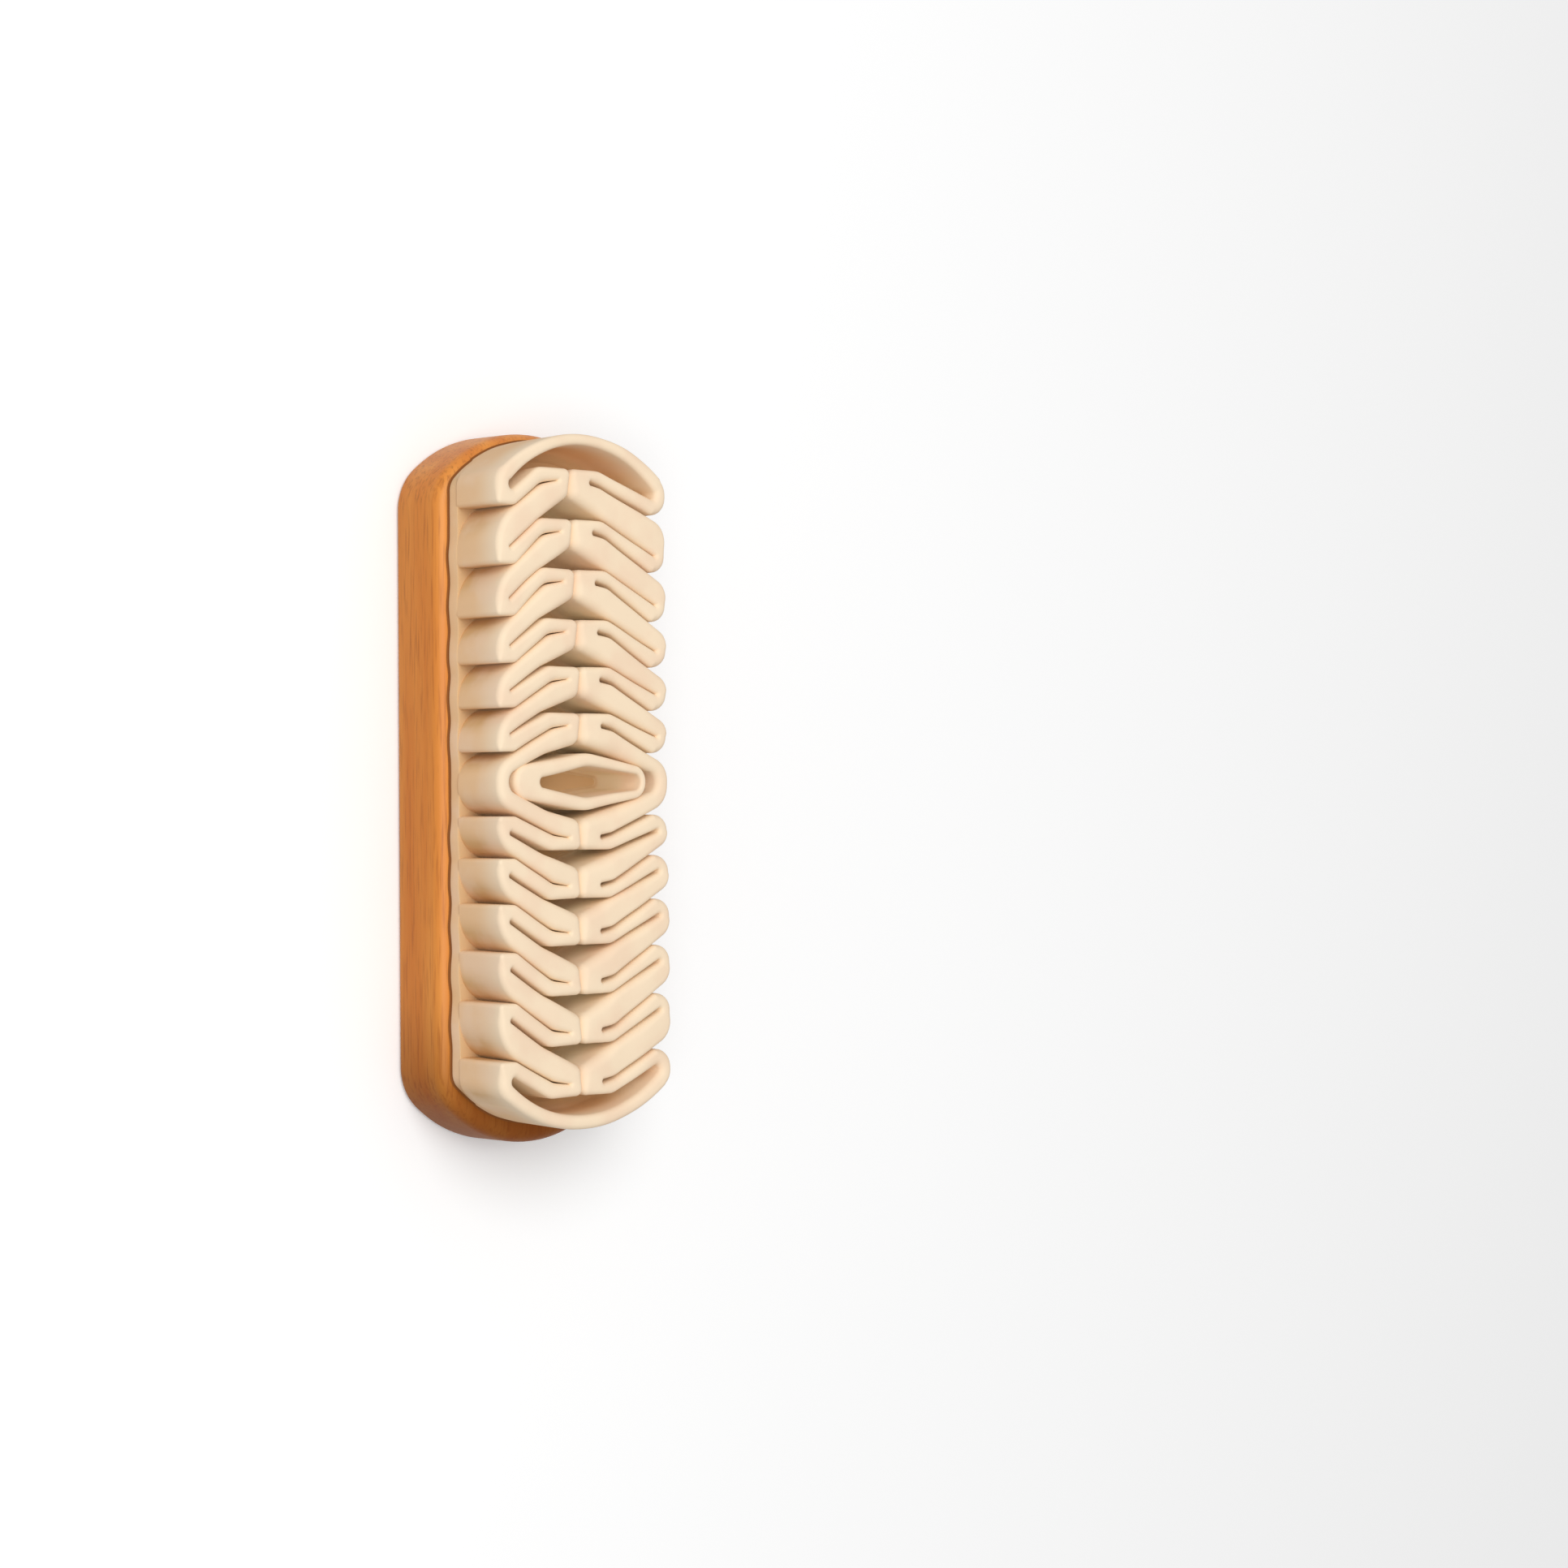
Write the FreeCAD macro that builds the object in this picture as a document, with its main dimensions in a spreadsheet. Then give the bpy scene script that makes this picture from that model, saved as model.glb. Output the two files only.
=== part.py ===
import FreeCAD
import Part
import math
import os

# Crepe suede brush: a wooden block carries a flat crepe backing sheet, and on the backing stands one
# long crepe strip on its edge, folded to and fro into two rows of fingers that meet along the middle.
# A short closed loop of the same strip fills the wide fold in the middle.
# Millimetres. The brush lies on its wooden back, +Z towards the crepe face, +Y along its length,
# and the origin is under the middle of the block.

driving_sizes = [
    # wooden block
    ("block_length", 130.0, "length of the wooden block"),
    ("block_width", 45.0, "width of the wooden block"),
    ("block_thickness", 12.3, "thickness of the wooden block"),
    ("corner_radius", 10.0, "plan radius of the block's corners"),
    ("end_bow", 10.7, "rise of the block's bowed ends over its full width"),
    ("face_edge", 2.5, "rounding of the block's edge at the crepe side"),
    ("back_edge", 1.2, "rounding of the block's edge at the back"),
    # place of the crepe on the block
    ("side_rim", 1.5, "wood outside the outer folds at each side"),
    ("end_rim", 2.23, "wood outside the end arches at each end, on average"),
    ("crepe_shift", 1.1, "the crepe sits this far towards one end of the block"),
    # crepe strip
    ("sheet_thickness", 2.9, "thickness of the folded crepe strip"),
    ("band_height", 11.7, "height of the strip above the backing"),
    # fingers: the hairpins that reach in from each side and meet along the middle
    ("finger_spacing", 8.65, "wanted spacing of the fingers; the length there is is shared out evenly"),
    ("finger_slit", 0.35, "opening inside a finger at its tip"),
    ("finger_flat", 1.7, "straight run of a finger from its tip bend to its kink"),
    ("kink_share", 0.34, "radius of the slit at a finger's kink, as a share of the row's width"),
    ("end_slope", 0.323, "fall of the first and last finger, tip to mouth, as a share of the row's width"),
    ("slope_bulge", 0.122, "further fall of the fingers halfway along a row, as the same share"),
    ("meeting_offset", -1.3, "line where the two rows meet, off the centre line"),
    ("meeting_gap", 0.3, "gap between the finger tips of the two rows"),
    ("tip_corner", 1.4, "corner radius of the flattened finger tips"),
    # outer folds
    ("tooth_slit", 0.35, "opening inside an outer fold"),
    ("tooth_share", 0.42, "place of an outer fold between its two notches, from the one nearer the middle"),
    ("notch_opening", 0.4, "half gap left beside the middle fold and the end folds"),
    ("middle_slit", 4.0, "opening inside the wide fold in the middle, at its bend"),
    ("arch_slit", 1.6, "opening inside the fold where an end arch starts"),
    ("arch_gap", 3.5, "gap between an end arch and the last fingers"),
    # middle loop
    ("loop_slit", 0.3, "opening inside the folded ends of the loop"),
    ("crown_share", 0.51, "radius of the loop's crowns, as a share of one arc from end to end"),
    ("loop_gap", 1.5, "gap between the loop's crown and the first fingers"),
    ("loop_clearance", 0.4, "gap between the loop's ends and the fold round them"),
    # backing sheet
    ("backing_thickness", 2.5, "thickness of the crepe backing sheet"),
    ("backing_inset", 0.4, "edge of the backing inside the outer folds"),
]

doc = FreeCAD.newDocument("crepe_suede_brush")
sheet = doc.addObject("Spreadsheet::Sheet", "Sizes")
for line, (alias, number, note) in enumerate(driving_sizes, start=1):
    sheet.set(f"A{line}", note)
    sheet.set(f"B{line}", str(number))
    sheet.setAlias(f"B{line}", alias)
doc.recompute()


def size(alias):
    return float(sheet.get(alias))


# A path is given by the circles it runs round, as (x, y, radius): the radius is positive where the
# path turns anticlockwise and negative where it turns clockwise. Straight runs touch both neighbours.
same_place = 1e-4
widest_crease = max(size("finger_slit"), size("tooth_slit"), size("loop_slit")) / 2


def run_heading(first, second):
    across, along = second[0] - first[0], second[1] - first[1]
    lean = (second[2] - first[2]) / math.hypot(across, along)
    return math.atan2(along, across) - math.asin(max(-1.0, min(1.0, lean)))


def touch_point(circle, heading):
    x, y, radius = circle
    return FreeCAD.Vector(x + radius * math.sin(heading), y - radius * math.cos(heading), 0)


def bend(circle, arrive, leave, start, end):
    radius = circle[2]
    if abs(radius) < widest_crease + same_place:
        return Part.LineSegment(start, end)
    if radius < 0:
        start, end = end, start
        arrive, leave = leave, arrive
    turn = (leave - arrive) % (2 * math.pi)
    return Part.Arc(start, touch_point(circle, arrive + turn / 2), end)


def closed_path(circles):
    # where neighbouring bends touch each other there is no straight run between them
    after = circles[1:] + circles[:1]
    headings = [run_heading(here, there) for here, there in zip(circles, after)]
    starts = [touch_point(here, heading) for here, heading in zip(circles, headings)]
    ends = [touch_point(there, heading) for there, heading in zip(after, headings)]
    ends = [start if start.distanceToPoint(end) < same_place else end for start, end in zip(starts, ends)]
    geometry = []
    for place, circle in enumerate(circles):
        arrive, leave = headings[place - 1], headings[place]
        geometry.append(bend(circle, arrive, leave, ends[place - 1], starts[place]))
        if starts[place] != ends[place]:
            geometry.append(Part.LineSegment(starts[place], ends[place]))
    return geometry


# Fold plan of the strip: radii of its centre line
half_sheet = size("sheet_thickness") / 2
finger_bend = half_sheet + size("finger_slit") / 2
tooth_bend = half_sheet + size("tooth_slit") / 2
middle_bend = half_sheet + size("middle_slit") / 2
arch_bend = half_sheet + size("arch_slit") / 2
loop_bend = half_sheet + size("loop_slit") / 2

# Fold plan: places across the width
block_side = size("block_width") / 2
outer_line = block_side - size("side_rim") - half_sheet
tip_reach = size("meeting_gap") / 2 + half_sheet + finger_bend
row_width = outer_line - tooth_bend - tip_reach
kink_radius = size("kink_share") * row_width

# Fold plan: places along the length, from the middle to one end
block_end = size("block_length") / 2
arch_top = block_end - size("end_rim") - half_sheet
last_finger = arch_top - half_sheet - size("arch_gap") - half_sheet - finger_bend
first_finger = middle_bend + half_sheet + size("notch_opening") + row_width * size("end_slope")
finger_steps = max(1, round((last_finger - first_finger) / size("finger_spacing")))
finger_pitch = (last_finger - first_finger) / finger_steps
finger_tips = [first_finger + finger_pitch * step for step in range(finger_steps + 1)]


def finger_drop(step):
    away = 2 * step / finger_steps - 1
    return row_width * (size("end_slope") + size("slope_bulge") * (1 - away * away))


finger_mouths = [tip - finger_drop(step) for step, tip in enumerate(finger_tips)]
notches = zip(finger_mouths, finger_mouths[1:])
tooth_places = [inner + size("tooth_share") * (outer - inner) for inner, outer in notches]
arch_tooth = finger_mouths[-1] + size("notch_opening") + half_sheet + arch_bend

# each end arch is one arc that runs straight into the bends of the two end folds
arch_rise = arch_top - arch_tooth
arch_reach = outer_line - arch_bend
arch_radius = (arch_reach**2 + arch_rise**2 - arch_bend**2) / (2 * (arch_rise - arch_bend))

# A fold is a circle of the strip's centre line and the row whose tip presses on the other row there,
# or neither where the strip bends freely.
left, neither, right = -1, 0, 1


def finger_bend_place(side):
    return size("meeting_offset") + side * tip_reach


def kink_place(side, step):
    return finger_bend_place(side) + side * size("finger_flat"), finger_tips[step] - kink_radius


def row_half(side):
    # the folds of one row from the end arch to the middle
    folds = [(side * arch_reach, arch_tooth, arch_bend, neither)]
    for step in reversed(range(finger_steps + 1)):
        kink_x, kink_y = kink_place(side, step)
        folds.append((kink_x, kink_y, -kink_radius - finger_bend, neither))
        folds.append((finger_bend_place(side), finger_tips[step], -finger_bend, side))
        folds.append((kink_x, kink_y, kink_radius - finger_bend, neither))
        if step > 0:
            tooth_x = side * (outer_line - tooth_bend)
            folds.append((tooth_x, tooth_places[step - 1], tooth_bend, neither))
    return folds


def row(side):
    # the left row runs from top to bottom and the right row from bottom to top; the second half is the
    # first mirrored end to end and taken backwards, so every turn keeps its sign
    half = row_half(side)
    middle = (side * (outer_line - middle_bend), 0, middle_bend, neither)
    folds = half + [middle] + [(x, -y, radius, tip) for x, y, radius, tip in reversed(half)]
    return folds if side == left else folds[::-1]


arch_fold = (0, arch_top - arch_radius, arch_radius, neither)
far_arch_fold = (0, arch_radius - arch_top, arch_radius, neither)
band_folds = [arch_fold] + row(left) + [far_arch_fold] + row(right)


def pressed_tip(before, fold, after):
    # two corners with a flat between them, touching the same runs as the round bend and the same line
    # along the row
    x, y, radius, side = fold
    corner = -size("tip_corner")
    change = radius - half_sheet - corner
    corners = []
    for heading in (run_heading(before, fold), run_heading(fold, after)):
        along = (side * math.sin(heading) - 1) / math.cos(heading)
        corners.append((x + change * side, y + change * along, corner))
    return corners


def strip_walls(folds):
    # the outer wall runs round the outer folds and inside the fingers, the inner wall round the tips
    outer = [(x, y, radius + half_sheet) for x, y, radius, tip in folds]
    inner = []
    for before, fold, after in zip(folds[-1:] + folds[:-1], folds, folds[1:] + folds[:1]):
        x, y, radius, tip = fold
        if tip == neither:
            inner.append((x, y, radius - half_sheet))
        else:
            inner += pressed_tip(before, fold, after)
    return [outer, inner]


def loop_end_place(side):
    # the loop's folded end lies as deep in the middle fold as its clearance allows:
    # the fold widens from its bend inwards, by the slope of the run to the first finger's kink
    kink_x, kink_y = kink_place(side, 0)
    fold = (middle_bend - outer_line, 0, -middle_bend)
    kink = (-side * kink_x, kink_y, finger_bend - kink_radius)
    room = loop_bend + 2 * half_sheet + size("loop_clearance")
    inward = (room - middle_bend) / math.sin(run_heading(fold, kink))
    return side * (outer_line - middle_bend - inward)


loop_middle = (loop_end_place(left) + loop_end_place(right)) / 2
loop_reach = (loop_end_place(right) - loop_end_place(left)) / 2
loop_top = first_finger - finger_bend - half_sheet - size("loop_gap") - half_sheet
one_arc = (loop_reach**2 + loop_top**2 - loop_bend**2) / (2 * (loop_top - loop_bend))
loop_crown = size("crown_share") * one_arc
loop_folds = [
    (loop_middle, loop_top - loop_crown, loop_crown, neither),
    (loop_end_place(left), 0, loop_bend, neither),
    (loop_middle, loop_crown - loop_top, loop_crown, neither),
    (loop_end_place(right), 0, loop_bend, neither),
]

# the backing is a plain sheet just inside the envelope of the outer folds
backing_grow = half_sheet - size("backing_inset")
end_reach = [(-arch_reach, arch_tooth), (-arch_reach, -arch_tooth)]
end_reach += [(-x, -y) for x, y in end_reach]
end_circles = [(x, y, arch_bend + backing_grow) for x, y in end_reach]
arch_circles = [(0, fold[1], arch_radius + backing_grow) for fold in (arch_fold, far_arch_fold)]
backing_circles = arch_circles[:1] + end_circles[:2] + arch_circles[1:] + end_circles[2:]

# the block has straight sides, bowed ends and round corners that touch both
end_radius = (block_side**2 + size("end_bow") ** 2) / (2 * size("end_bow"))
corner_x = block_side - size("corner_radius")
corner_y = block_end - end_radius + math.sqrt((end_radius - size("corner_radius")) ** 2 - corner_x**2)
block_circles = [
    (0, block_end - end_radius, end_radius),
    (-corner_x, corner_y, size("corner_radius")),
    (-corner_x, -corner_y, size("corner_radius")),
    (0, end_radius - block_end, end_radius),
    (corner_x, -corner_y, size("corner_radius")),
    (corner_x, corner_y, size("corner_radius")),
]


def new_body(label):
    body = doc.addObject("PartDesign::Body", label)
    body.Label = label
    return body


def plan_sketch(body, name, outlines):
    sketch = body.newObject("Sketcher::SketchObject", name)
    plane = [item for item in body.Origin.OriginFeatures if item.Role == "XY_Plane"][0]
    sketch.AttachmentSupport = [(plane, "")]
    sketch.MapMode = "FlatFace"
    for circles in outlines:
        sketch.addGeometry(closed_path(circles))
    return sketch


def pad_of(body, sketch, alias):
    pad = body.newObject("PartDesign::Pad", sketch.Name + "_pad")
    pad.Profile = sketch
    pad.setExpression("Length", f"Sizes.{alias}")
    doc.recompute()
    return pad


def edges_at(shape, height):
    found = []
    for number, edge in enumerate(shape.Edges, start=1):
        if all(abs(vertex.Z - height) < same_place for vertex in edge.Vertexes):
            found.append(f"Edge{number}")
    return found


def rounded(body, base, height, alias):
    fillet = body.newObject("PartDesign::Fillet", alias + "_round")
    fillet.Base = (base, edges_at(base.Shape, height))
    fillet.setExpression("Radius", f"Sizes.{alias}")
    doc.recompute()
    return fillet


def wood_block():
    body = new_body("wood_block")
    blank = pad_of(body, plan_sketch(body, "block_outline", [block_circles]), "block_thickness")
    face = rounded(body, blank, size("block_thickness"), "face_edge")
    rounded(body, face, 0, "back_edge")
    return body


def crepe_layer(label, outlines, height_alias, foot):
    # a crepe piece cut straight down from its plan and standing on what lies below it
    body = new_body(label)
    pad_of(body, plan_sketch(body, label + "_plan", outlines), height_alias)
    body.setExpression("Placement.Base.y", "Sizes.crepe_shift")
    body.setExpression("Placement.Base.z", foot)
    doc.recompute()
    return body


on_block = "Sizes.block_thickness"
on_backing = "Sizes.block_thickness + Sizes.backing_thickness"
pieces = [
    wood_block(),
    crepe_layer("crepe_backing", [backing_circles], "backing_thickness", on_block),
    crepe_layer("folded_band", strip_walls(band_folds), "band_height", on_backing),
    crepe_layer("middle_loop", strip_walls(loop_folds), "band_height", on_backing),
]

for item in doc.Objects:
    if "Invalid" in item.State or "Error" in item.State:
        raise RuntimeError(f"{item.Label} did not build: {item.State}")
for piece in pieces:
    if piece.Shape.isNull() or not piece.Shape.isValid() or len(piece.Shape.Solids) != 1:
        raise RuntimeError(f"{piece.Label} is not one valid solid")

os.makedirs("parts", exist_ok=True)
for piece in pieces:
    piece.Shape.exportStep(f"parts/{piece.Label}.step")
    box = piece.Shape.optimalBoundingBox()
    print(piece.Label, f"{box.XLength:.2f} x {box.YLength:.2f} x {box.ZLength:.2f} mm")
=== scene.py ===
import math

import bpy
from mathutils import Matrix, Vector, kdtree, noise


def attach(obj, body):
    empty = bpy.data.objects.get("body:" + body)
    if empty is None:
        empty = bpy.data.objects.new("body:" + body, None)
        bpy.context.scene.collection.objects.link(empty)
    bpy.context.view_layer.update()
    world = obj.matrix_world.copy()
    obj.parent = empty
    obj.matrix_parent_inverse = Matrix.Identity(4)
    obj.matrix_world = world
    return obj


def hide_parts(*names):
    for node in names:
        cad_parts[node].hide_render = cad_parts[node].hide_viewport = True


# Crepe suede brush lying on its wooden back.
# Sizes are in millimetres, with +Y along the brush and +Z out of the crepe.
mm = 0.001
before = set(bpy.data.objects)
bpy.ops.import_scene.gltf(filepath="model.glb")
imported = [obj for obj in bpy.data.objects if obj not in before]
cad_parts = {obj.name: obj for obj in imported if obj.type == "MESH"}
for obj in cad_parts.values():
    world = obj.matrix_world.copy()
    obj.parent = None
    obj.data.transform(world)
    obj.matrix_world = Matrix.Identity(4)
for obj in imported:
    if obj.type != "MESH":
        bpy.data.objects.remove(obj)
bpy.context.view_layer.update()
print("frame loaded:", ", ".join(sorted(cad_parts)))


# camera

cameraSettings = {
    "place": (-401.267, 0.618, 458.060),
    "aim": (0.723783, -0.000175, -0.690027),
    "up": (0.003603, 0.999987, 0.003526),
    "focalPixels": 4015.86,
    "imagePixels": 1932,
    "sensorWidth": 36,
    "clip": (0.01, 20),  # metres
}


def makeCamera(settings):
    data = bpy.data.cameras.new("photoCamera")
    data.sensor_width = settings["sensorWidth"]
    data.lens = settings["sensorWidth"] * settings["focalPixels"] / settings["imagePixels"]
    data.clip_start, data.clip_end = settings["clip"]
    camera = bpy.data.objects.new("photoCamera", data)
    bpy.context.scene.collection.objects.link(camera)
    aim, up = Vector(settings["aim"]).normalized(), Vector(settings["up"])
    right = aim.cross(up).normalized()
    turn = Matrix((right, right.cross(aim), -aim)).transposed()
    camera.matrix_world = Matrix.Translation(Vector(settings["place"]) * mm) @ turn.to_4x4()
    bpy.context.scene.camera = camera


makeCamera(cameraSettings)
print("camera placed")


# node helpers

mixUnder, mixOver, mixResult = 6, 7, 2  # the colour sockets of a Mix node
nodeGap = 200  # from one node to the next in the editor


def linear(red, green, blue):
    # a colour as a picker shows it, 0 to 255, as the renderer wants it
    def one(value):
        value /= 255
        return value / 12.92 if value <= 0.04045 else ((value + 0.055) / 1.055) ** 2.4
    return (one(red), one(green), one(blue), 1)


def addNode(tree, kind, place, **values):
    node = tree.nodes.new(kind)
    node.location = place
    for name, value in values.items():
        if hasattr(node, name):
            setattr(node, name, value)
        else:
            node.inputs[name].default_value = value
    return node


def addMath(tree, operation, place, *values):
    node = addNode(tree, "ShaderNodeMath", place, operation=operation)
    for socket, value in zip(node.inputs, values):
        tree.links.new(value, socket)
    return node.outputs[0]


def addFade(tree, value, span, levels, place, blend="SMOOTHSTEP"):
    # goes from the first level to the second while the value crosses the span
    fade = addNode(tree, "ShaderNodeMapRange", place, interpolation_type=blend)
    sockets = ("From Min", "From Max", "To Min", "To Max")
    for socket, number in zip(sockets, (*span, *levels)):
        fade.inputs[socket].default_value = number
    tree.links.new(value, fade.inputs["Value"])
    return fade.outputs["Result"]


def addTint(tree, under, over, mask, place):
    # lays a plain colour over another one, or over what another node puts out
    mix = addNode(tree, "ShaderNodeMix", place, data_type="RGBA")
    mix.inputs[mixOver].default_value = over
    tree.links.new(mask, mix.inputs["Factor"])
    if isinstance(under, bpy.types.NodeSocket):
        tree.links.new(under, mix.inputs[mixUnder])
    else:
        mix.inputs[mixUnder].default_value = under
    return mix.outputs[mixResult]


def addLayers(tree, look, base, layers, place):
    # tones of a look laid over its base tone one after another, each by its own mask
    colour = linear(*look[base])
    for step, (tone, mask) in enumerate(layers):
        colour = addTint(tree, colour, linear(*look[tone]), mask, (place[0] + nodeGap * step, place[1]))
    return colour


def addNoise(tree, vector, size, detail, place):
    cloud = addNode(tree, "ShaderNodeTexNoise", place, Scale=1 / (size * mm), Detail=detail)
    tree.links.new(vector, cloud.inputs["Vector"])
    return cloud.outputs["Fac"]


def newMaterial(name):
    material = bpy.data.materials.new(name)
    material.use_nodes = True
    tree = material.node_tree
    tree.nodes.clear()
    shader = addNode(tree, "ShaderNodeBsdfPrincipled", (600, 0))
    output = addNode(tree, "ShaderNodeOutputMaterial", (900, 0))
    tree.links.new(shader.outputs["BSDF"], output.inputs["Surface"])
    return material, tree, shader


# fine grain, which the crepe and the wood both have

def makeGrainGroup():
    group = bpy.data.node_groups.new("fineGrain", "ShaderNodeTree")
    group.interface.new_socket("Vector", in_out="INPUT", socket_type="NodeSocketVector")
    for name in ("Scale", "Detail", "Strength", "Distance"):
        group.interface.new_socket(name, in_out="INPUT", socket_type="NodeSocketFloat")
    group.interface.new_socket("Grain", in_out="OUTPUT", socket_type="NodeSocketFloat")
    group.interface.new_socket("Normal", in_out="OUTPUT", socket_type="NodeSocketVector")
    given = addNode(group, "NodeGroupInput", (-600, 0))
    cloud = addNode(group, "ShaderNodeTexNoise", (-350, 100))
    bump = addNode(group, "ShaderNodeBump", (-100, -100))
    result = addNode(group, "NodeGroupOutput", (150, 0))
    for name in ("Vector", "Scale", "Detail"):
        group.links.new(given.outputs[name], cloud.inputs[name])
    for name in ("Strength", "Distance"):
        group.links.new(given.outputs[name], bump.inputs[name])
    group.links.new(cloud.outputs["Fac"], bump.inputs["Height"])
    group.links.new(cloud.outputs["Fac"], result.inputs["Grain"])
    group.links.new(bump.outputs["Normal"], result.inputs["Normal"])
    return group


fineGrain = makeGrainGroup()


def addGrain(tree, vector, look, place):
    grain = addNode(tree, "ShaderNodeGroup", place, node_tree=fineGrain)
    grain.inputs["Scale"].default_value = 1 / (look["grainSize"] * mm)
    grain.inputs["Detail"].default_value = look["grainDetail"]
    grain.inputs["Strength"].default_value = look["grainStrength"]
    grain.inputs["Distance"].default_value = look["grainDepth"] * mm
    tree.links.new(vector, grain.inputs["Vector"])
    return grain


# crepe rubber

crepeLook = {
    "inside": (250, 233, 202),
    # flank: painted shade, the darker tone laid on the outer walls and the arches
    "flank": (243, 203, 158),
    # painted shade in the notches between the folds
    "notchShade": (222, 180, 128),
    # painted light: the walls turn paler towards their top, where the darker tones fade out
    "paintedTopLight": (252, 229, 198),
    "patch": (247, 216, 186),
    # painted shade on the upward-facing floors deep in the hollows
    "hollowFloorShade": (222, 186, 140),
    "cement": (150, 90, 40),
    "flankShadeFade": (18.6, 20.4),
    "archFade": (54.0, 58.0),
    "notchShadeFade": (20.75, 19.5),
    "mouthShadeFade": (15.0, 17.5),
    "topLightFade": (19.0, 26.4),
    "hollowShadeFade": (18.0, 14.9),
    "cementFade": (12.8, 12.5),
    "levelFade": (0, 0.9),  # how far a face looks up
    "patchFade": (0.4, 0.68),  # which part of the noise is a patch
    "patchShare": 0.6,
    "patchSize": 9.0,
    "patchDetail": 3.0,
    "grainSize": 0.35,
    "grainDetail": 4.0,
    "grainStrength": 0.35,
    "grainDepth": 0.05,
    "roughness": 0.75,
    "specular": 0.25,
}


def crepeMaterial(look):
    # painted shade: the flanks and arches are darker and the notches and the floors of the hollows
    # are deeper in tone; painted light makes the walls paler towards their top; cement shows along the foot
    # of the backing
    material, tree, shader = newMaterial("naturalCrepe")
    place = addNode(tree, "ShaderNodeTexCoord", (-1500, 0))
    split = addNode(tree, "ShaderNodeSeparateXYZ", (-1250, -50))
    tree.links.new(place.outputs["Object"], split.inputs["Vector"])
    facing = addNode(tree, "ShaderNodeSeparateXYZ", (-1250, -250))
    tree.links.new(place.outputs["Normal"], facing.inputs["Vector"])
    across = addMath(tree, "ABSOLUTE", (-1050, 150), split.outputs["X"])
    along = addMath(tree, "ABSOLUTE", (-1050, 0), split.outputs["Y"])
    height = split.outputs["Z"]

    def fade(value, name, spot):
        return addFade(tree, value, [size * mm for size in look[name]], (0, 1), spot)

    arch = fade(along, "archFade", (-800, 0))
    # painted shade: the outer walls and the arches get the darker flank tone
    shadedFlanks = addMath(tree, "MAXIMUM", (-600, 100), fade(across, "flankShadeFade", (-800, 200)), arch)
    # painted shade in the notches, kept off the arches
    recess, mouth = fade(across, "notchShadeFade", (-800, 800)), fade(across, "mouthShadeFade", (-800, 600))
    recessed = addMath(tree, "MULTIPLY", (-600, 700), recess, mouth)
    notchShade = addMath(tree, "SUBTRACT", (-450, 600), recessed, arch)
    # painted shade: deep, upward-facing floors of the hollows are darkened
    deep = fade(height, "hollowShadeFade", (-800, -550))
    level = addFade(tree, facing.outputs["Z"], look["levelFade"], (0, 1), (-800, -750))
    patches = addNoise(tree, place.outputs["Object"], look["patchSize"], look["patchDetail"], (-1050, 400))
    layers = [
        ("flank", shadedFlanks),
        ("notchShade", notchShade),
        # painted light: paler towards the top of the walls
        ("paintedTopLight", fade(height, "topLightFade", (-800, -200))),
        ("patch", addFade(tree, patches, look["patchFade"], (0, look["patchShare"]), (-800, 400))),
        ("hollowFloorShade", addMath(tree, "MULTIPLY", (-600, -600), deep, level)),
        ("cement", fade(height, "cementFade", (-800, -400))),
    ]
    tree.links.new(addLayers(tree, look, "inside", layers, (-650, 300)), shader.inputs["Base Color"])
    grain = addGrain(tree, place.outputs["Object"], look, (200, -300))
    tree.links.new(grain.outputs["Normal"], shader.inputs["Normal"])
    shader.inputs["Roughness"].default_value = look["roughness"]
    shader.inputs["Specular IOR Level"].default_value = look["specular"]
    return material


crepe = crepeMaterial(crepeLook)
print("crepe material made")


# fold plan: each wall of the crepe strip runs round circles, given as x, y and a radius,
# which is negative where the wall turns clockwise

left, right = -1, 1
upper, lower = 1, -1
bendPoints = 5  # points per radian round the tightest bends
shortRun = 0.3  # a straight run shorter than this has no points of its own
nearMiss = 1.6 * math.pi  # more turn than this means that the line only just misses the circle


def newStop(circle, rim=1.0, foot=0.0):
    # one bend of a wall, the radius of the rim over it and the width of the foot under it
    return {"circle": circle, "rim": rim, "foot": foot}


def runHeading(first, second):
    across, along = second[0] - first[0], second[1] - first[1]
    lean = (second[2] - first[2]) / math.hypot(across, along)
    return math.atan2(along, across) - math.asin(max(-1, min(1, lean)))


def touchPoint(circle, heading):
    x, y, radius = circle
    return x + radius * math.sin(heading), y - radius * math.cos(heading)


def turnOf(circle, arrive, leave):
    # a circle that the line only just misses is passed with a slight turn the other way
    way = 1 if circle[2] > 0 else -1
    turn = (way * (leave - arrive)) % (2 * math.pi)
    return way * (turn if turn < nearMiss else turn - 2 * math.pi)


def between(start, end, part):
    return start + (end - start) * part


def wallPoints(stops, pointStep):
    # x, y, heading, rim and foot along a closed wall
    points = []
    circles = [stop["circle"] for stop in stops]
    headings = [runHeading(here, there) for here, there in zip(circles, circles[1:] + circles[:1])]
    for place, stop in enumerate(stops):
        after = stops[(place + 1) % len(stops)]
        arrive, leave = headings[place - 1], headings[place]
        turn = turnOf(stop["circle"], arrive, leave)
        count = math.ceil(abs(turn) * max(bendPoints, abs(stop["circle"][2]) / pointStep))
        for step in range(count):
            heading = arrive + turn * (step + 0.5) / count
            points.append((*touchPoint(stop["circle"], heading), heading, stop["rim"], stop["foot"]))
        start, end = touchPoint(stop["circle"], leave), touchPoint(after["circle"], leave)
        length = math.dist(start, end)
        count = math.ceil(length / pointStep) if length > shortRun else 0
        for step in range(count):
            part = (step + 0.5) / count
            x, y = between(start[0], end[0], part), between(start[1], end[1], part)
            rim, foot = between(stop["rim"], after["rim"], part), between(stop["foot"], after["foot"], part)
            points.append((x, y, leave, rim, foot))
    return points


# folded band

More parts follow.
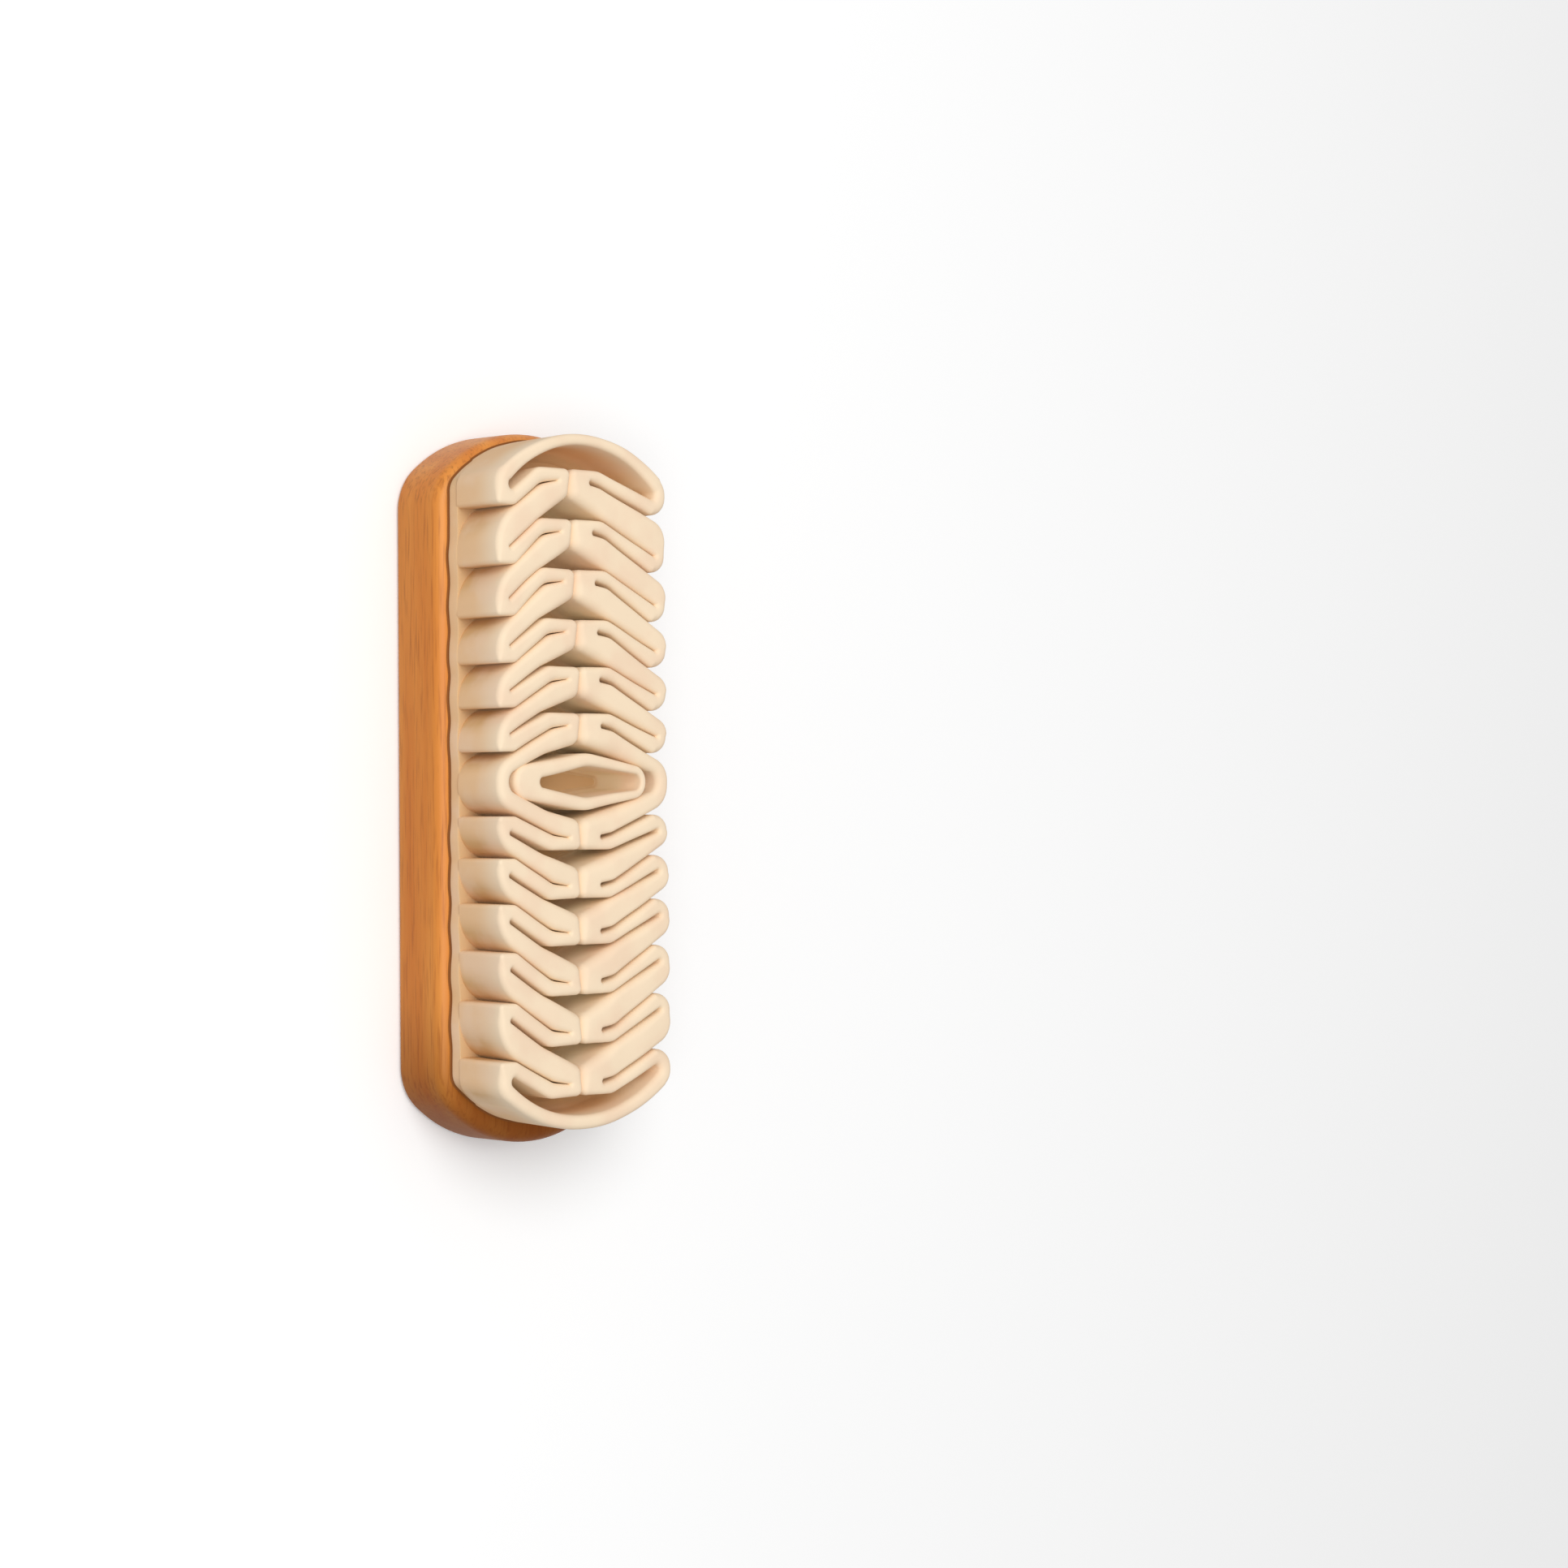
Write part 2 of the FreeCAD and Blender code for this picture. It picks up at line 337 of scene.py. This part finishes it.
strip = {
    "thickness": 2.9,
    "height": 11.7,
    "bottom": 14.8,
    "sunk": 0.1,
    "shift": 1.1,
    "width": 42.0,
    "length": 125.54,
    "pointStep": 0.7,
    "rimSteps": 7,
    "rimShare": 0.86,  # of the thickness, for the rims of both walls together
    "footSteps": 4,
    "footHeight": 2.5,
    "wallLevels": (0.25, 0.5, 0.75, 0.9, 1),
    "tips": {
        upper: (10.05, 18.45, 27.0, 36.0, 44.9, 54.0),
        lower: (10.05, 18.8, 27.1, 36.1, 45.1, 54.4),
    },
    "mouths": {
        upper: (5.2, 12.9, 20.9, 29.3, 38.4, 49.0),
        lower: (5.9, 13.4, 21.5, 30.0, 39.0, 49.3),
    },
    "meeting": -1.1,  # where the tips of the two rows meet, moving left beyond driftStart
    "meetingDrift": 2.4,
    "driftStart": 18.0,
    "driftLength": 38.0,
    "fingerSlit": {left: 0.25, right: 0.7},
    "fingerReach": {left: 3.2, right: 5.2},
    "fingerFlat": {left: 1.7, right: 1.2},
    "fingerLean": 0.35,
    "bend": 5.0,
    "slitEnd": {left: 0.03, right: 0.4},
    "slitEndRim": {left: 0.9, right: 0.9},
    "farSlitRim": 1.5,
    "nearSlitRim": {left: 1.2, right: 0.7},
    "mouthSlit": 0.3,
    "mouthDepth": 3.7,
    "mouthBend": 2.0,
    "mouthRim": 0.9,
    "slitLean": 28,  # degrees
    "edgeKink": {left: 6.9, right: 6.7},
    "edgeRound": 3.0,
    "edgeRim": 1.0,
    "edgeFoot": 1.0,
    "edgeBow": {left: 0.6, right: 0.15},
    "bowRadius": 12.0,
    "bowStart": (0.9, 1.6),
    "hollowRim": {left: 1.4, right: 2.2},
    "hollowFoot": 1.0,
    "tipRise": 2.3,
    "tipFall": 1.6,
    "tipFar": 1.3,
    "tipFarRim": 1.2,
    "tipNear": 2.0,
    "tipNearRim": 1.8,
    "tipGap": 0.03,
    "tipFoot": 0.4,
    "toothSlit": 0.25,
    "toothEnd": {upper: 0.12, lower: 0.35},
    "toothRim": 0.9,
    "sharpCorner": {left: 0.8, right: 3.1},
    "sharpRim": {left: 0.65, right: 1.6},
    "wideCorner": {left: 0.8, right: 0.4},  # share of the distance between mouths
    "wideRim": 1.2,
    "middleCorner": 4.4,
    "middleSlit": 4.0,
    "middleEdge": 2.0,  # where the edge of the first finger heads for in the middle fold
    "middleFoot": 0.8,
    "archSlit": 1.6,
    "archCrown": {upper: 2.0, lower: 2.6},
    "archRim": 0.45,  # share of the crown
    "archFoot": 2.0,
    "archTurnRim": 1.6,
    "archTurnFoot": 1.0,
    "innerRim": 1.3,
}


def meetingLine(plan, y):
    # the line where the two rows meet drifts to the left towards the far end
    return plan["meeting"] - plan["meetingDrift"] * max(0, y - plan["driftStart"]) / plan["driftLength"]


def archCircle(level, reach, tooth, bend):
    # the arc through the crown of an arch that runs smoothly into the end folds
    rise = level - tooth
    radius = (reach**2 + rise**2 - bend**2) / (2 * (rise - bend))
    return 0, level - radius, radius


def stripWalls(plan):
    half, mouths, steps = plan["thickness"] / 2, plan["mouths"], len(plan["mouths"][upper]) - 1
    gap = plan["mouthSlit"] / 2
    middleBend, archBend = half + plan["middleSlit"] / 2, half + plan["archSlit"] / 2
    flank = plan["width"] / 2
    archTop = plan["length"] / 2
    archReach = flank - half - archBend
    archTooth = {end: mouths[end][-1] + gap + half + archBend for end in (upper, lower)}
    middleReach = flank - half - middleBend

    def mirrored(fold):
        def over(stop):
            x, y, radius = stop["circle"]
            return {**stop, "circle": (x, -y, radius)}
        return {wall: [over(stop) for stop in fold[wall]] for wall in fold}

    def turnedBack(folds):
        # the same folds run through from the other end
        return [{wall: fold[wall][::-1] for wall in fold} for fold in reversed(folds)]

    def sharpCorner(side, end, step):
        # the corner of the fold beyond a mouth and the bend where its slit starts to slope
        y, bend, sharp = mouths[end][step], plan["mouthBend"], plan["sharpCorner"][side]
        return [
            newStop((side * (flank - sharp), y + gap + sharp, sharp), plan["sharpRim"][side]),
            newStop((side * (flank - plan["mouthDepth"]), y + bend, bend - gap), plan["mouthRim"]),
        ]

    def wideCorner(side, end, step, radius):
        # the corner of the fold before a mouth, receding from the flank straight into the slope of the slit
        lean = math.radians(plan["slitLean"])
        reach = plan["mouthBend"] + gap + radius - (radius - plan["mouthDepth"]) * math.sin(lean)
        y = mouths[end][step] + plan["mouthBend"] - reach / math.cos(lean)
        return [newStop((side * (flank - radius), y, radius), plan["wideRim"])]

    def toothSlit(side, end, step):
        y = mouths[end][step - 1] + gap + plan["thickness"] + plan["toothSlit"] / 2
        return side * (flank - plan["thickness"] - plan["toothSlit"] / 2), y, plan["toothEnd"][end]

    def toothFold(side, end, step):
        wide = (mouths[end][step] - mouths[end][step - 1]) * plan["wideCorner"][side]
        outer = wideCorner(side, end, step, wide) + sharpCorner(side, end, step - 1)
        return {"outer": outer, "inner": [newStop(toothSlit(side, end, step), plan["toothRim"])]}

    def archTurn(side, end):
        place = side * archReach, archTooth[end]
        outer = [newStop((*place, archBend + half), plan["archTurnRim"])] + sharpCorner(side, end, steps)
        inner = [newStop((*place, archBend - half), plan["innerRim"], plan["archTurnFoot"])]
        return {"outer": outer, "inner": inner}

    def middleTurn(side):
        outer = wideCorner(side, upper, 0, plan["middleCorner"])
        outer += mirrored({"outer": wideCorner(side, lower, 0, plan["middleCorner"])})["outer"]
        fold = side * middleReach, 0, middleBend - half
        return {"outer": outer, "inner": [newStop(fold, plan["innerRim"], plan["middleFoot"])]}

    def edgeBow(side, first, second):
        # a wide circle that holds the straight edge of a finger a little away from its chord
        radius = plan["bowRadius"]
        across, along = second[0] - first[0], second[1] - first[1]
        push = (plan["edgeBow"][side] - radius) / math.hypot(across, along) * (1 if across < 0 else -1)
        return (first[0] + second[0]) / 2 + along * push, (first[1] + second[1]) / 2 - across * push, radius

    def fingerFold(side, end, step):
        tip, bend, slit = plan["tips"][end][step], plan["bend"], plan["fingerSlit"][side] / 2
        meeting = meetingLine(plan, end * tip)
        slitEnd = meeting + side * plan["fingerReach"][side]
        kink = slitEnd + side * plan["fingerFlat"][side], tip - bend - plan["fingerLean"]
        crest, fall = tip + plan["tipRise"], tip - plan["tipFall"]
        edge, far, near = plan["edgeRound"], plan["tipFar"], plan["tipNear"]
        edgeX = meeting + side * plan["edgeKink"][side]
        farX, nearX = (meeting + side * (radius + plan["tipGap"]) for radius in (far, near))
        bowX, bowFall = plan["bowStart"]
        heldBy = toothSlit(side, end, step) if step else (side * middleReach, plan["middleEdge"])
        bow = edgeBow(side, (meeting + side * bowX, fall - bowFall), heldBy)
        return {
            "outer": [
                newStop((*kink, -bend - slit), plan["farSlitRim"]),
                newStop((slitEnd, tip, -plan["slitEnd"][side]), plan["slitEndRim"][side]),
                newStop((*kink, bend - slit), plan["nearSlitRim"][side]),
            ],
            "inner": [
                newStop((edgeX, crest - edge, -edge), plan["edgeRim"], plan["edgeFoot"]),
                newStop((farX, crest - far, -far), plan["tipFarRim"], plan["tipFoot"]),
                newStop((nearX, fall, -near), plan["tipNearRim"], plan["tipFoot"]),
                newStop(bow, plan["hollowRim"][side], plan["hollowFoot"]),
            ],
        }

    def rowHalf(side, end):
        folds = [archTurn(side, end)]
        for step in reversed(range(1, steps + 1)):
            folds += [fingerFold(side, end, step), toothFold(side, end, step)]
        return folds + [fingerFold(side, end, 0)]

    def row(side):
        lowerHalf = [mirrored(fold) for fold in rowHalf(side, lower)]
        folds = rowHalf(side, upper) + [middleTurn(side)] + turnedBack(lowerHalf)
        return folds if side == left else turnedBack(folds)

    def arch(end):
        crown = plan["archCrown"][end]
        rim = crown * plan["archRim"]
        outer = archCircle(archTop, archReach, archTooth[end], archBend + half)
        inner = archCircle(archTop - crown, archReach, archTooth[end], archBend - half)
        fold = {"outer": [newStop(outer, rim)], "inner": [newStop(inner, rim, plan["archFoot"])]}
        return fold if end == upper else mirrored(fold)

    folds = [arch(upper)] + row(left) + [arch(lower)] + row(right)
    return {wall: [stop for fold in folds for stop in fold[wall]] for wall in ("outer", "inner")}


drift = {
    "sideLean": 0.022,
    "endLean": 0.006,
    "skew": 0.5,
    "skewStart": 0.2,
    "skewLength": 60,
    "skewWidth": 20,
    "sway": 0.2,
    "swaySize": (14, 14, 30),
    "swaySeed": 143,
    "swell": 0.25,
    "swellSize": (7, 9),
    "swellLayer": 3.7,
}
noise.seed_set(drift["swaySeed"])  # the same unevenness on every run


def crepeDrift(x, y, z, height):
    # hand-made unevenness: the strip leans out towards its top, the right flank runs a little askew,
    # and line and height wander
    up = z / height
    x *= 1 - drift["sideLean"] * (1 - up)
    y *= 1 - drift["endLean"] * (1 - up)
    x -= drift["skew"] * (y / drift["skewLength"] + drift["skewStart"]) * max(0, x / drift["skewWidth"])
    acrossSize, alongSize, upSize = drift["swaySize"]
    sway = noise.noise_vector(Vector((x / acrossSize, y / alongSize, z / upSize)))
    x += drift["sway"] * sway.x
    y += drift["sway"] * sway.y
    acrossSize, alongSize = drift["swellSize"]
    z += drift["swell"] * up * noise.noise(Vector((x / acrossSize, y / alongSize, drift["swellLayer"])))
    return x, y, z


def meshPiece(name, vertices, faces, material):
    mesh = bpy.data.meshes.new(name)
    mesh.from_pydata([Vector(vertex) * mm for vertex in vertices], [], faces)
    mesh.validate()
    mesh.materials.append(material)
    mesh.polygons.foreach_set("use_smooth", [True] * len(mesh.polygons))
    piece = bpy.data.objects.new(name, mesh)
    bpy.context.scene.collection.objects.link(piece)
    return piece


def fittedRims(points, others, rimShare):
    # the rims of both walls of a layer keep within its thickness
    tree = kdtree.KDTree(len(others))
    for place, (x, y, *rest) in enumerate(others):
        tree.insert((x, y, 0), place)
    tree.balance()
    rims = []
    for x, y, heading, rim, foot in points:
        spot, place, room = tree.find((x, y, 0))
        otherRim = others[place][3]
        rims.append(rim * min(1, rimShare * room / (rim + otherRim)))
    return rims


def wallSection(plan, rim, foot):
    # inset and height up one wall, from its rounded foot to over its rounded rim
    shoulder, footHeight = plan["height"] - rim, plan["footHeight"]
    rows = [(-foot, -plan["sunk"])]
    for step in range(plan["footSteps"] + 1):
        angle = math.pi / 2 * step / plan["footSteps"]
        rows.append((foot * (math.sin(angle) - 1), footHeight * (1 - math.cos(angle))))
    rows += [(0, between(footHeight, shoulder, part)) for part in plan["wallLevels"]]
    for step in range(1, plan["rimSteps"] + 1):
        angle = math.pi / 2 * step / plan["rimSteps"]
        rows.append((rim * (1 - math.cos(angle)), shoulder + rim * math.sin(angle)))
    return rows


def gridFaces(start, columns, rows, way):
    # quads of a closed wall, seen from outside for way 1 and from inside for way -1
    faces = []
    for column in range(columns):
        here, after = start + column * rows, start + (column + 1) % columns * rows
        for row in range(rows - 1):
            faces.append((here + row, after + row, after + row + 1, here + row + 1)[::way])
    return faces


def stitchFaces(vertices, outer, inner, reach=90):
    # triangles from one closed line to the other, chosen for the least total length of their cross edges,
    # where a point may reach this many points ahead or behind on the other line
    outer, inner = outer + outer[:1], inner + inner[:1]
    lengths, origins = {(0, 0): 0}, {}
    for here in range(len(outer)):
        level = here * (len(inner) - 1) // (len(outer) - 1)
        for there in range(max(0, level - reach), min(len(inner), level + reach + 1)):
            ways = [spot for spot in ((here - 1, there), (here, there - 1)) if spot in lengths]
            if ways:
                length, origins[here, there] = min((lengths[spot], spot) for spot in ways)
                lengths[here, there] = length + math.dist(vertices[outer[here]], vertices[inner[there]])
    faces = []
    here, there = len(outer) - 1, len(inner) - 1
    while here or there:
        before = origins[here, there]
        if before[0] < here:
            faces.append((outer[here - 1], outer[here], inner[there]))
        else:
            faces.append((outer[here], inner[there], inner[there - 1]))
        here, there = before
    return faces


def standingStrip(name, walls, plan):
    points = {wall: wallPoints(walls[wall], plan["pointStep"]) for wall in walls}
    vertices, faces, feet, tops = [], [], [], []
    for wall, other, way in (("outer", "inner", 1), ("inner", "outer", -1)):
        start = len(vertices)
        rims = fittedRims(points[wall], points[other], plan["rimShare"])
        for (x, y, heading, wantedRim, foot), rim in zip(points[wall], rims):
            section = wallSection(plan, rim, foot)
            for inset, z in section:
                wallX, wallY = x - way * inset * math.sin(heading), y + way * inset * math.cos(heading)
                driftX, driftY, driftZ = crepeDrift(wallX, wallY, z, plan["height"])
                vertices.append((driftX, driftY + plan["shift"], driftZ + plan["bottom"]))
        rows = len(section)
        faces += gridFaces(start, len(points[wall]), rows, way)
        feet.append(list(range(start, len(vertices), rows)))
        tops.append(list(range(start + rows - 1, len(vertices), rows)))
    faces += stitchFaces(vertices, *tops)
    faces += [face[::-1] for face in stitchFaces(vertices, *feet)]
    piece = meshPiece(name, vertices, faces, crepe)
    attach(piece, "root")
    return piece


bandWalls = stripWalls(strip)
band = standingStrip("foldedBand", bandWalls, strip)
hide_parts("folded_band")
print("folded band:", len(band.data.vertices), "points")


# loop in the middle fold, with an arc over each long side and a small one round each end

loop = {
    "outerEnd": {left: (-14.0, 0, 3.1), right: (12.0, 0, 3.1)},
    "innerEnd": {left: (-9.9, 0, 0.9), right: (12.3, 0, 1.5)},
    "outerCrown": (0.0, 5.1, 11.0),  # x, y and radius
    "innerCrown": (0.8, 2.8, 8.0),
    "rim": 1.1,
    "outerFoot": 0.0,
    "innerFoot": 0.8,
}


def loopWalls(plan):
    def crown(wall, end):
        x, top, radius = plan[wall + "Crown"]
        return x, end * (top - radius), radius

    walls = {}
    for wall in ("outer", "inner"):
        ends = plan[wall + "End"]
        circles = [crown(wall, upper), ends[left], crown(wall, lower), ends[right]]
        walls[wall] = [newStop(circle, plan["rim"], plan[wall + "Foot"]) for circle in circles]
    return walls


middleLoop = standingStrip("middleLoop", loopWalls(loop), strip)
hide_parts("middle_loop")
print("middle loop:", len(middleLoop.data.vertices), "points")


# flat pieces: an outline pushed in and out over a few levels, closed by a face at the bottom and the top

def roundedLevels(low, high, lowRound, highRound, steps=6, lip=0.4):
    # inset and height up an edge that is rounded at both ends, with a narrow lip on each flat face
    levels = [(lowRound + lip, low)]
    for step in range(steps + 1):
        angle = math.pi / 2 * step / steps
        levels.append((lowRound * (1 - math.sin(angle)), low + lowRound * (1 - math.cos(angle))))
    for step in range(steps + 1):
        angle = math.pi / 2 * step / steps
        levels.append((highRound * (1 - math.cos(angle)), high - highRound * (1 - math.sin(angle))))
    levels.append((highRound + lip, high))
    return levels


def bowedOutline(plan):
    # straight sides, round corners and bowed ends
    side, end, corner, bow = plan["width"] / 2, plan["length"] / 2, plan["corner"], plan["endBow"]
    bowRadius = (side**2 + bow**2) / (2 * bow)
    cornerX = side - corner
    cornerY = end - bowRadius + math.sqrt((bowRadius - corner) ** 2 - cornerX**2)
    circles = [
        (0, end - bowRadius, bowRadius),
        (-cornerX, cornerY, corner),
        (-cornerX, -cornerY, corner),
        (0, bowRadius - end, bowRadius),
        (cornerX, -cornerY, corner),
        (cornerX, cornerY, corner),
    ]
    return wallPoints([newStop(circle) for circle in circles], plan["pointStep"])


def flatPiece(name, outline, levels, material, bulge=None):
    vertices = []
    rows, columns = len(levels), len(outline)
    for x, y, heading, *rest in outline:
        for inset, z in levels:
            push = bulge(x, y, z) - inset if bulge else -inset
            vertices.append((x + push * math.sin(heading), y - push * math.cos(heading), z))
    faces = gridFaces(0, columns, rows, 1)
    faces.append([column * rows for column in reversed(range(columns))])
    faces.append([column * rows + rows - 1 for column in range(columns)])
    piece = meshPiece(name, vertices, faces, material)
    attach(piece, "root")
    return piece


backing = {
    "length": 124.7,
    "width": 41.0,
    "corner": 3.7,
    "endBow": 8.8,
    "bottom": 12.3,
    "top": 14.8,
    "edgeRound": 0.12,
    "pointStep": 0.5,
    "waves": 0.15,
    "waveHalf": 4.3,
    "waveFrom": 15.0,
    "teethFrom": 17.5,
    "ripple": 0.6,  # share of the waves
    "rippleSize": (5, 3, 3),
    "cement": 0.3,
    "cementHeight": 0.1,
    "cementRows": 3,
}
outerTeeth = [stop["circle"][1] for stop in bandWalls["inner"] if stop["circle"][0] < -backing["teethFrom"]]


def backingBulge(x, y, z):
    # the edge swells under each outer fold and ripples a little
    near = min(abs(y - tooth) for tooth in outerTeeth)
    wave = math.cos(math.pi * min(1, near / backing["waveHalf"])) if abs(x) > backing["waveFrom"] else 0
    acrossSize, alongSize, upSize = backing["rippleSize"]
    ripple = noise.noise(Vector((x / acrossSize, y / alongSize, z / upSize)))
    return backing["waves"] * (wave + backing["ripple"] * ripple)


def backingLevels(plan):
    # cement squeezed out under the sheet takes the place of the first rows of its lower rounding
    bottom, cement = plan["bottom"], plan["cement"]
    lip, *edge = roundedLevels(bottom, plan["top"], plan["edgeRound"], plan["edgeRound"])
    return [lip, (-cement, bottom), (-cement, bottom + plan["cementHeight"])] + edge[plan["cementRows"]:]


backingLine = [(x, y + strip["shift"], *rest) for x, y, *rest in bowedOutline(backing)]
backingPiece = flatPiece("crepeBacking", backingLine, backingLevels(backing), crepe, backingBulge)
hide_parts("crepe_backing")
print("backing:", len(backingPiece.data.vertices), "points")


# stained wood

woodLook = {
    "light": (236, 156, 68),
    "middle": (214, 124, 42),
    "dark": (150, 74, 16),
    # painted shade: the near end of the block is darkened
    "nearEndShade": (112, 52, 8),
    "stretch": (1, 0.05, 1),  # the figure runs along the block
    "ringWidth": 5.0,
    "ringDetail": 3.0,
    "ringFade": (0.3, 0.7),
    "streakFade": (0.5, 0.75),
    "streakShare": 0.55,
    "nearEndShadeFade": (-32.0, -66.0),
    "nearEndShadeShare": 0.8,
    "grainSize": 0.5,
    "grainDetail": 3.0,
    "grainStrength": 0.2,
    "grainDepth": 0.05,
    "roughness": 0.45,
    "specular": 0.4,
}


def woodMaterial(look):
    # rings and dark streaks along the block; painted shade darkens the near end, which is also made duller
    material, tree, shader = newMaterial("stainedWood")
    place = addNode(tree, "ShaderNodeTexCoord", (-1500, 0))
    stretched = addNode(tree, "ShaderNodeMapping", (-1300, 150), Scale=look["stretch"])
    tree.links.new(place.outputs["Object"], stretched.inputs["Vector"])
    split = addNode(tree, "ShaderNodeSeparateXYZ", (-1000, -350))
    tree.links.new(place.outputs["Object"], split.inputs["Vector"])
    rings = addNoise(tree, stretched.outputs["Vector"], look["ringWidth"], look["ringDetail"], (-1000, 250))
    grain = addGrain(tree, stretched.outputs["Vector"], look, (-1000, -50))
    streaks, streakLevels = grain.outputs["Grain"], (0, look["streakShare"])
    endSpan, endLevels = [size * mm for size in look["nearEndShadeFade"]], (0, look["nearEndShadeShare"])
    # painted shade: darker and less glossy towards the near end
    shadedNearEnd = addFade(tree, split.outputs["Y"], endSpan, endLevels, (-700, -350))
    layers = [
        ("light", addFade(tree, rings, look["ringFade"], (0, 1), (-700, 250), "LINEAR")),
        ("dark", addFade(tree, streaks, look["streakFade"], streakLevels, (-700, -50), "LINEAR")),
        ("nearEndShade", shadedNearEnd),
    ]
    tree.links.new(addLayers(tree, look, "middle", layers, (-350, 150)), shader.inputs["Base Color"])
    gloss = addFade(tree, shadedNearEnd, (0, 1), (look["specular"], 0), (200, -50), "LINEAR")
    tree.links.new(gloss, shader.inputs["Specular IOR Level"])
    tree.links.new(grain.outputs["Normal"], shader.inputs["Normal"])
    shader.inputs["Roughness"].default_value = look["roughness"]
    return material


stainedWood = woodMaterial(woodLook)
print("wood material made")


# wooden block

block = {
    "length": 130.0,
    "width": 45.0,
    "thickness": 12.3,
    "corner": 10.0,
    "endBow": 10.7,
    "faceEdge": 2.5,
    "backEdge": 1.2,
    "pointStep": 1.0,
}

blockLevels = roundedLevels(0, block["thickness"], block["backEdge"], block["faceEdge"])
blockPiece = flatPiece("woodBlock", bowedOutline(block), blockLevels, stainedWood)
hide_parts("wood_block")
print("block:", len(blockPiece.data.vertices), "points")


# floor and light, placed in metres

studio = {
    "floorHalf": 3.0,
    "floorBounce": 0.5,
    "floorSeen": 0.98,
    "floorGlow": 0.12,
    "floorRoughness": 0.9,
    "skyLevel": 0.46,
    "skySeen": 1.0,
    "lightAim": (0, 0, 0.02),
    "keyPlace": (-0.5, 0.42, 1.08),
    "keySize": 0.8,
    "keyPower": 7.0,
    "fillPlace": (-0.62, -0.12, 0.72),
    "fillSize": 0.35,
    "fillPower": 1.6,
}


def cameraRays(tree, place):
    # one where the camera sees the floor or the sky itself, also in a gloss or through something clear
    path = addNode(tree, "ShaderNodeLightPath", place)
    seen = path.outputs["Is Camera Ray"]
    for step, ray in enumerate(("Is Glossy Ray", "Is Transmission Ray"), 1):
        seen = addMath(tree, "MAXIMUM", (place[0] + nodeGap * step, place[1]), seen, path.outputs[ray])
    return seen


def makeFloor(plan):
    half = plan["floorHalf"]
    corners = [(-half, -half, 0), (half, -half, 0), (half, half, 0), (-half, half, 0)]
    mesh = bpy.data.meshes.new("floor")
    mesh.from_pydata(corners, [], [(0, 1, 2, 3)])
    floor = bpy.data.objects.new("floor", mesh)
    bpy.context.scene.collection.objects.link(floor)
    material, tree, shader = newMaterial("paleFloor")
    seen = cameraRays(tree, (-400, 100))
    bounceGrey, seenGrey = ((plan[level],) * 3 + (1,) for level in ("floorBounce", "floorSeen"))
    tree.links.new(addTint(tree, bounceGrey, seenGrey, seen, (300, 100)), shader.inputs["Base Color"])
    tree.links.new(seen, shader.inputs["Emission Color"])
    shader.inputs["Emission Strength"].default_value = plan["floorGlow"]
    shader.inputs["Roughness"].default_value = plan["floorRoughness"]
    shader.inputs["Specular IOR Level"].default_value = 0
    mesh.materials.append(material)


def areaLight(name, place, aim, size, power):
    data = bpy.data.lights.new(name, "AREA")
    data.shape, data.size, data.energy = "DISK", size, power
    lamp = bpy.data.objects.new(name, data)
    bpy.context.scene.collection.objects.link(lamp)
    lamp.location = place
    lamp.rotation_mode = "QUATERNION"
    lamp.rotation_quaternion = (Vector(aim) - Vector(place)).to_track_quat("-Z", "Y")


def makeSky(plan):
    world = bpy.data.worlds.new("studio")
    world.use_nodes = True
    tree = world.node_tree
    sky = tree.nodes["Background"]
    sky.inputs["Color"].default_value = (1, 1, 1, 1)
    level = addNode(tree, "ShaderNodeMix", (-100, -200), A=plan["skyLevel"], B=plan["skySeen"])
    tree.links.new(cameraRays(tree, (-800, -200)), level.inputs["Factor"])
    tree.links.new(level.outputs["Result"], sky.inputs["Strength"])
    bpy.context.scene.world = world


makeFloor(studio)
makeSky(studio)
for lamp in ("key", "fill"):
    place, size, power = (studio[lamp + value] for value in ("Place", "Size", "Power"))
    areaLight(lamp + "Light", place, studio["lightAim"], size, power)
bpy.context.scene.view_settings.view_transform = "Standard"
print("floor and lights placed")
